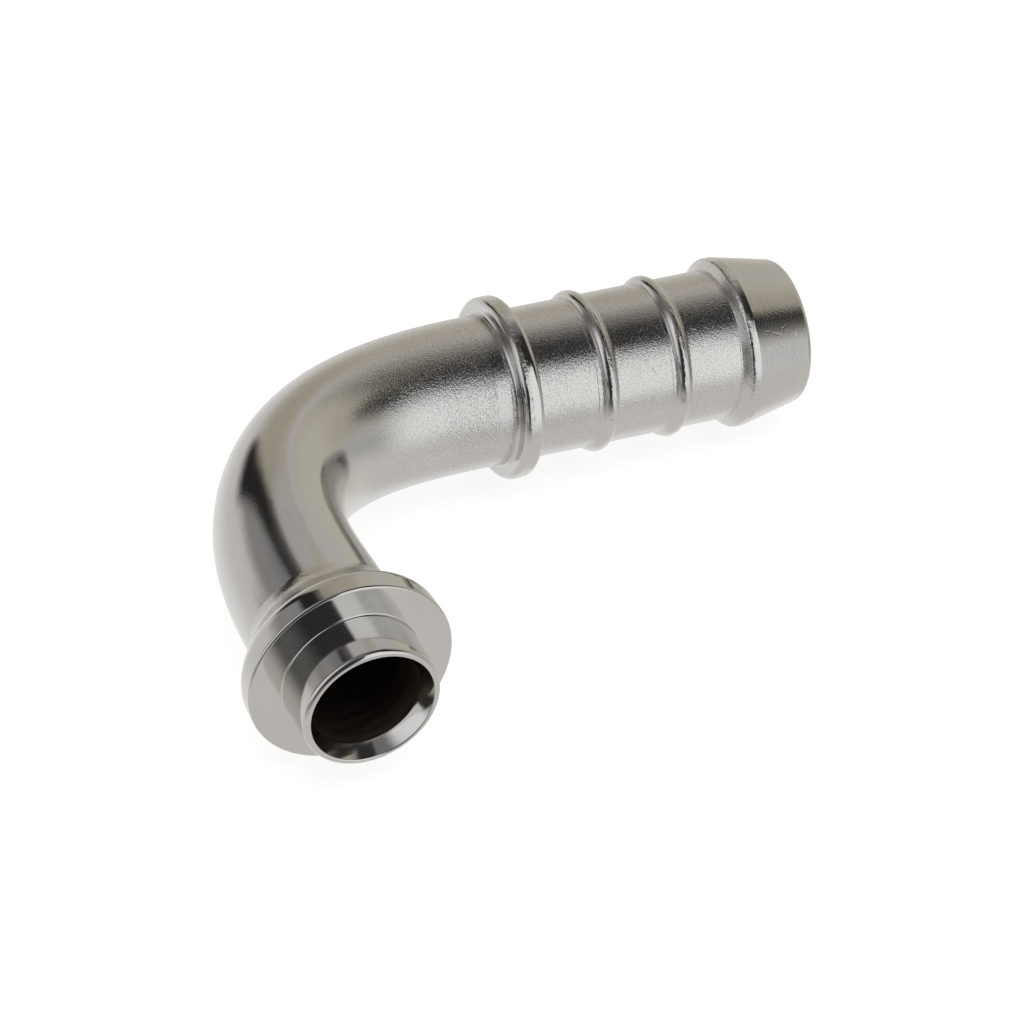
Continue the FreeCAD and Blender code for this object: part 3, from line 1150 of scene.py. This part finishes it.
    def crest_relief(self, nodes: Nodes, bench: Socket) -> Socket:
        """Cuts the ragged line where the plating has chipped along each crest.

        Args:
            nodes: the material's nodes.
            bench: the place on the bench.

        Returns:
            The socket of the relief in millimetres.
        """
        wander = nodes.noise(bench, 1.1, 3.0, 0.7)
        stray = nodes.total(nodes.attribute("burr"), nodes.ramp(
            wander, 0.25, 0.75, -self.ragged_stray, self.ragged_stray, smooth=False))
        scaled = nodes.math("POWER", nodes.math("DIVIDE", stray, self.ragged_width), 2.0)
        bell = nodes.math("EXPONENT", nodes.product(scaled, -1.0))
        patchy = nodes.ramp(nodes.noise(bench, 1.7, 2.0), 0.42, 0.58, 0.25, 1.0)
        groove = nodes.product(bell, nodes.product(patchy, -self.ragged_relief))
        chips = nodes.ramp(nodes.noise(bench, 3.6, 3.0, 0.7), 0.3, 0.7,
                           -self.chip_relief, self.chip_relief, smooth=False)
        near = nodes.ramp(nodes.math("ABSOLUTE", stray), 0.1, 0.45, 1.0, 0.0)
        chipped = nodes.product(chips, nodes.product(near, nodes.attribute("crest")))
        return nodes.total(groove, chipped)

    def marks_relief(self, nodes: Nodes) -> Socket:
        """Cuts the scratches, the clamp marks and small specks.

        Args:
            nodes: the material's nodes.

        Returns:
            The socket of the relief in millimetres.
        """
        unrolled = nodes.attribute("unrolled", "Vector")
        cells = nodes.add("TexVoronoi", {"Vector": unrolled, "Scale": 0.45}).outputs["Distance"]
        specks = nodes.ramp(cells, 0.01, 0.05, -self.speck_relief, 0.0)
        return nodes.total(specks, *(mark.relief(nodes, unrolled, self.tube) for mark in MARKS))


@dataclass(frozen=True)
class BoredMetalPaintedShade:
    """The inside of the waterway: drill rings in a dull, dark tint. The darkness is painted shade
    of the deep bore, far darker than the bare metal.

    Args:
        light: the tint of the lighter rings.
        dark: the tint of the darker rings.
        drill: how the drill's rings are stretched: lengthwise, round, round.
        smooth: the roughness of the smoother rings.
        rough: the roughness of the rougher ones.
        relief: how deep the rings are, in metres.
        name: the material's name.
    """

    # Painted shade: both tints are far darker than bare metal and stand in for the shade deep
    # inside the bore.
    light: tuple[float, ...] = (0.20, 0.155, 0.12, 1.0)
    dark: tuple[float, ...] = (0.14, 0.108, 0.083, 1.0)
    drill: tuple[float, float, float] = (1.6, 1.0, 1.0)
    smooth: float = 0.38
    rough: float = 0.5
    relief: float = 0.00002
    name: str = "bored_waterway_painted_shade"

    def material(self) -> bpy.types.Material:
        """Builds the finish.

        Returns:
            The material.
        """
        material = bpy.data.materials.new(self.name)
        material.use_nodes = True
        nodes = Nodes(material.node_tree)
        lines = nodes.vector("MULTIPLY", nodes.attribute("turning", "Vector"), self.drill)
        cut = nodes.noise(lines, 1.0, 4.0, 0.6)
        bump = nodes.add("Bump", {"Strength": 0.1, "Distance": self.relief, "Height": cut})
        shader = nodes.add("BsdfPrincipled", {
            "Base Color": nodes.mix(nodes.ramp(cut, 0.3, 0.7), self.dark, self.light),
            "Metallic": 0.9, "Roughness": nodes.ramp(cut, 0.3, 0.7, self.smooth, self.rough),
            "Normal": bump.outputs[0]})
        nodes.add("OutputMaterial", {"Surface": shader.outputs[0]})
        return material


@dataclass(frozen=True)
class Card:
    """A soft-edged light box, wall or dark flag, as the fitting sees it.

    Args:
        azimuth: its middle, in degrees from +Y towards +X.
        half_width: half its width, in degrees.
        low: its lower edge, in degrees above the horizon.
        high: its upper edge.
        side_edge: how wide its soft left and right edges are, in degrees.
        level_edge: how wide its soft lower and upper edges are.
        glow: its radiance and tint.
    """

    azimuth: float
    half_width: float
    low: float
    high: float
    side_edge: float
    level_edge: float
    glow: tuple[float, float, float]

    def hang(self, nodes: Nodes, bearing: Socket, rise: Socket, colour: Socket) -> Socket:
        """Lays the card over what is painted so far.

        Args:
            nodes: the world's nodes.
            bearing: the bearing looked in, in degrees from +Y towards +X.
            rise: its height above the horizon, in degrees.
            colour: the colours so far.

        Returns:
            The socket of the colours with the card.
        """
        off = nodes.math("PINGPONG", nodes.math("SUBTRACT", bearing, self.azimuth), 180.0)
        side, level = self.side_edge / 2, self.level_edge / 2
        across = nodes.ramp(off, self.half_width - side, self.half_width + side, 1.0, 0.0)
        above = nodes.ramp(rise, self.low - level, self.low + level)
        below = nodes.ramp(rise, self.high - level, self.high + level, 1.0, 0.0)
        share = nodes.product(across, nodes.product(above, below))
        return nodes.mix(share, colour, (*self.glow, 1.0))


@dataclass(frozen=True)
class Studio:
    """Floor, soft light and the surroundings that the metal mirrors.

    Args:
        floor_height: how high the floor lies, in metres.
        floor_size: how long the floor's sides are.
        floor_matt: the floor's matt colour.
        floor_tint: the tint of its own faint glow.
        floor_glow: how strongly it glows for all but the camera.
        floor_seen: how strongly it glows for the camera.
        softbox_size: how long the sides of the overhead light are.
        softbox_power: its power in watts.
        softbox_place: where it hangs.
        cards: the light boxes, walls and flags, each laid over the ones before.
        low: what is mirrored at the horizon.
        high: what is mirrored higher up.
        overhead: what is mirrored straight above.
    """

    floor_height: float
    floor_size: float = 3.0
    floor_matt: tuple[float, ...] = (0.36, 0.36, 0.36, 1.0)
    floor_tint: tuple[float, ...] = (1.0, 0.995, 0.985, 1.0)
    floor_glow: float = 0.40
    floor_seen: float = 0.84
    softbox_size: float = 1.2
    softbox_power: float = 9.0
    softbox_place: tuple[float, float, float] = (0.1, -0.1, 1.2)
    cards: tuple[Card, ...] = (
        Card(20.0, 59.0, -85.0, -21.0, 40.0, 30.0, (0.86, 0.86, 0.85)),
        Card(55.0, 60.0, 1.5, 47.0, 39.0, 18.0, (0.487, 0.450, 0.376)),
        Card(-58.0, 10.5, -6.0, 58.0, 10.5, 12.5, (0.170, 0.161, 0.148)),
        Card(-43.0, 29.5, 13.5, 21.0, 5.0, 22.0, (0.162, 0.154, 0.148)),
        Card(-17.5, 9.5, 2.0, 46.0, 5.0, 16.0, (0.024, 0.023, 0.022)),
        Card(32.0, 43.0, 17.0, 40.5, 9.5, 13.5, (0.431, 0.398, 0.330)),
        Card(104.0, 44.0, 54.0, 88.0, 25.0, 8.0, (0.040, 0.038, 0.035)),
        Card(121.0, 19.0, 24.0, 72.0, 14.0, 26.0, (0.030, 0.030, 0.030)),
        Card(119.0, 39.0, -17.0, 6.5, 40.0, 27.0, (0.463, 0.463, 0.460)),
        Card(-144.0, 58.0, -25.0, 35.0, 24.0, 30.0, (0.19, 0.19, 0.185)),
        Card(-163.0, 28.0, -10.0, 60.0, 12.0, 24.0, (0.045, 0.043, 0.041)),
        Card(151.0, 15.5, -21.0, 32.0, 27.0, 24.0, (0.994, 1.010, 1.015)),
        Card(157.0, 15.5, -10.0, 55.0, 7.0, 9.0, (1.02, 1.03, 1.03)),
        Card(-98.0, 20.0, -8.5, 65.0, 36.0, 28.0, (0.90, 0.905, 0.91)),
        Card(53.0, 27.0, -37.0, 44.0, 29.0, 29.0, (0.580, 0.549, 0.480)),
        Card(33.0, 4.5, 31.0, 46.0, 6.0, 6.0, (0.56, 0.53, 0.53)),
        Card(41.0, 3.0, 17.0, 33.0, 5.0, 8.0, (0.56, 0.53, 0.53)),
        Card(9.0, 20.0, 44.5, 50.0, 8.0, 4.0, (0.53, 0.50, 0.50)),
    )
    low: tuple[float, float, float] = (0.704, 0.684, 0.663)
    high: tuple[float, float, float] = (0.211, 0.208, 0.204)
    overhead: tuple[float, float, float] = (0.20, 0.195, 0.19)

    def build(self) -> None:
        """Lays the floor, hangs the light and paints the surroundings."""
        self.floor()
        self.light()
        self.surroundings()

    def floor(self) -> None:
        """Lays a plain pale floor under the fitting.

        Mirror rays don't see it, so the metal mirrors the painted surroundings below
        the horizon too. It glows a little, so that the shadow on it stays faint.
        """
        half = self.floor_size / 2
        mesh = bpy.data.meshes.new("studio_floor")
        corners = [(-half, -half), (half, -half), (half, half), (-half, half)]
        mesh.from_pydata([(x, y, self.floor_height) for x, y in corners], [], [(0, 1, 2, 3)])
        floor = bpy.data.objects.new("studio_floor", mesh)
        bpy.context.scene.collection.objects.link(floor)
        material = bpy.data.materials.new("studio_floor")
        material.use_nodes = True
        nodes = Nodes(material.node_tree)
        matt = nodes.add("BsdfDiffuse", {"Color": self.floor_matt})
        seen = nodes.add("LightPath").outputs["Is Camera Ray"]
        strength = nodes.ramp(seen, 0.0, 1.0, self.floor_glow, self.floor_seen)
        glow = nodes.add("Emission", {"Color": self.floor_tint, "Strength": strength})
        both = nodes.add("AddShader", {0: matt.outputs[0], 1: glow.outputs[0]})
        nodes.add("OutputMaterial", {"Surface": both.outputs[0]})
        mesh.materials.append(material)
        floor.visible_glossy = False
        floor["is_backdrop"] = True
        LOG.info("studio_floor: %.1f m square", self.floor_size)

    def light(self) -> None:
        """Hangs a wide soft light overhead.

        Only the floor's matt surface answers it: mirror rays and the camera don't see it.
        """
        data = bpy.data.lights.new("overhead_softbox", "AREA")
        data.shape = "SQUARE"
        data.size = self.softbox_size
        data.energy = self.softbox_power
        lamp = bpy.data.objects.new("overhead_softbox", data)
        lamp.location = self.softbox_place
        lamp.visible_glossy = False
        lamp.visible_camera = False
        bpy.context.scene.collection.objects.link(lamp)
        LOG.info("overhead_softbox: %.0f W", self.softbox_power)

    def surroundings(self) -> None:
        """Paints the walls, light boxes and flags on the sky round the table.

        The metal mirrors them. The camera sees plain white in their place.
        """
        world = bpy.data.worlds.new("studio")
        bpy.context.scene.world = world
        world.use_nodes = True
        nodes = Nodes(world.node_tree)
        direction = nodes.add("TexCoord").outputs["Generated"]
        parts = nodes.add("SeparateXYZ", {0: direction}).outputs
        rise = nodes.math("DEGREES", nodes.math("ARCSINE", parts[2]))
        bearing = nodes.math("DEGREES", nodes.math("ARCTAN2", parts[0], parts[1]))
        colour = nodes.mix(nodes.ramp(rise, -5.0, 40.0), (*self.low, 1.0), (*self.high, 1.0))
        colour = nodes.mix(nodes.ramp(rise, 66.0, 80.0), colour, (*self.overhead, 1.0))
        for card in self.cards:
            colour = card.hang(nodes, bearing, rise, colour)
        mirrored = nodes.add("Background", {"Color": colour, "Strength": 1.0})
        plain_white = nodes.add("Background", {"Color": (1.0, 1.0, 1.0, 1.0), "Strength": 1.0})
        seen = nodes.add("LightPath").outputs["Is Camera Ray"]
        both = nodes.add("MixShader", {0: seen, 1: mirrored.outputs[0],
                                       2: plain_white.outputs[0]})
        nodes.add("OutputWorld", {"Surface": both.outputs[0]})
        LOG.info("surroundings: %d cards", len(self.cards))


@dataclass(frozen=True)
class View:
    """The photograph's view of the fitting.

    Args:
        back: the direction from the fitting to the camera.
        target: the point that the camera looks at, in metres.
        distance: how far from it the camera stands, in metres.
        roll: how far the camera is turned about its own axis, in degrees.
        lens: its focal length, in millimetres.
        sensor: the width of its sensor, in millimetres.
        near: the nearest thing that it sees, in metres.
        far: the farthest.
    """

    back: tuple[float, float, float] = (-0.343881, -0.676279, 0.651454)
    target: tuple[float, float, float] = (0.0196312, 0.0139294, -0.0006042)
    distance: float = 0.45
    roll: float = 5.2516
    lens: float = 197.91
    sensor: float = 36.0
    near: float = 0.01
    far: float = 20.0

    def build(self) -> None:
        """Makes the camera and looks through it.

        The roll turns it about its own axis, from upright.
        """
        data = bpy.data.cameras.new("photo_view")
        data.sensor_width = self.sensor
        data.lens = self.lens
        data.clip_start = self.near
        data.clip_end = self.far
        camera = bpy.data.objects.new("photo_view", data)
        back = Vector(self.back).normalized()
        upright = (-back).to_track_quat("-Z", "Y")
        turn = upright.to_matrix() @ Matrix.Rotation(math.radians(self.roll), 3, "Z")
        camera.matrix_world = (Matrix.Translation(Vector(self.target) + back * self.distance)
                               @ turn.to_4x4())
        bpy.context.scene.collection.objects.link(camera)
        bpy.context.scene.camera = camera
        LOG.info("photo_view: %.0f mm lens", self.lens)


def main() -> None:
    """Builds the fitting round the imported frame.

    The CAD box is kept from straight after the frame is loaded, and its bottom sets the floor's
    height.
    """
    logging.basicConfig(level=logging.INFO, format="%(name)s: %(message)s")
    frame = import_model()
    cad_low, cad_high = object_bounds()
    bpy.context.scene.view_settings.view_transform = "Standard"

    skin = Skin()
    piece = skin.build(Lie.from_record(frame["record"], skin.union.face))
    skin.dress(piece)
    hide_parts(NODE)
    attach(piece, BODY)

    Studio(floor_height=cad_low.z).build()
    View().build()


if __name__ == "__main__":
    main()
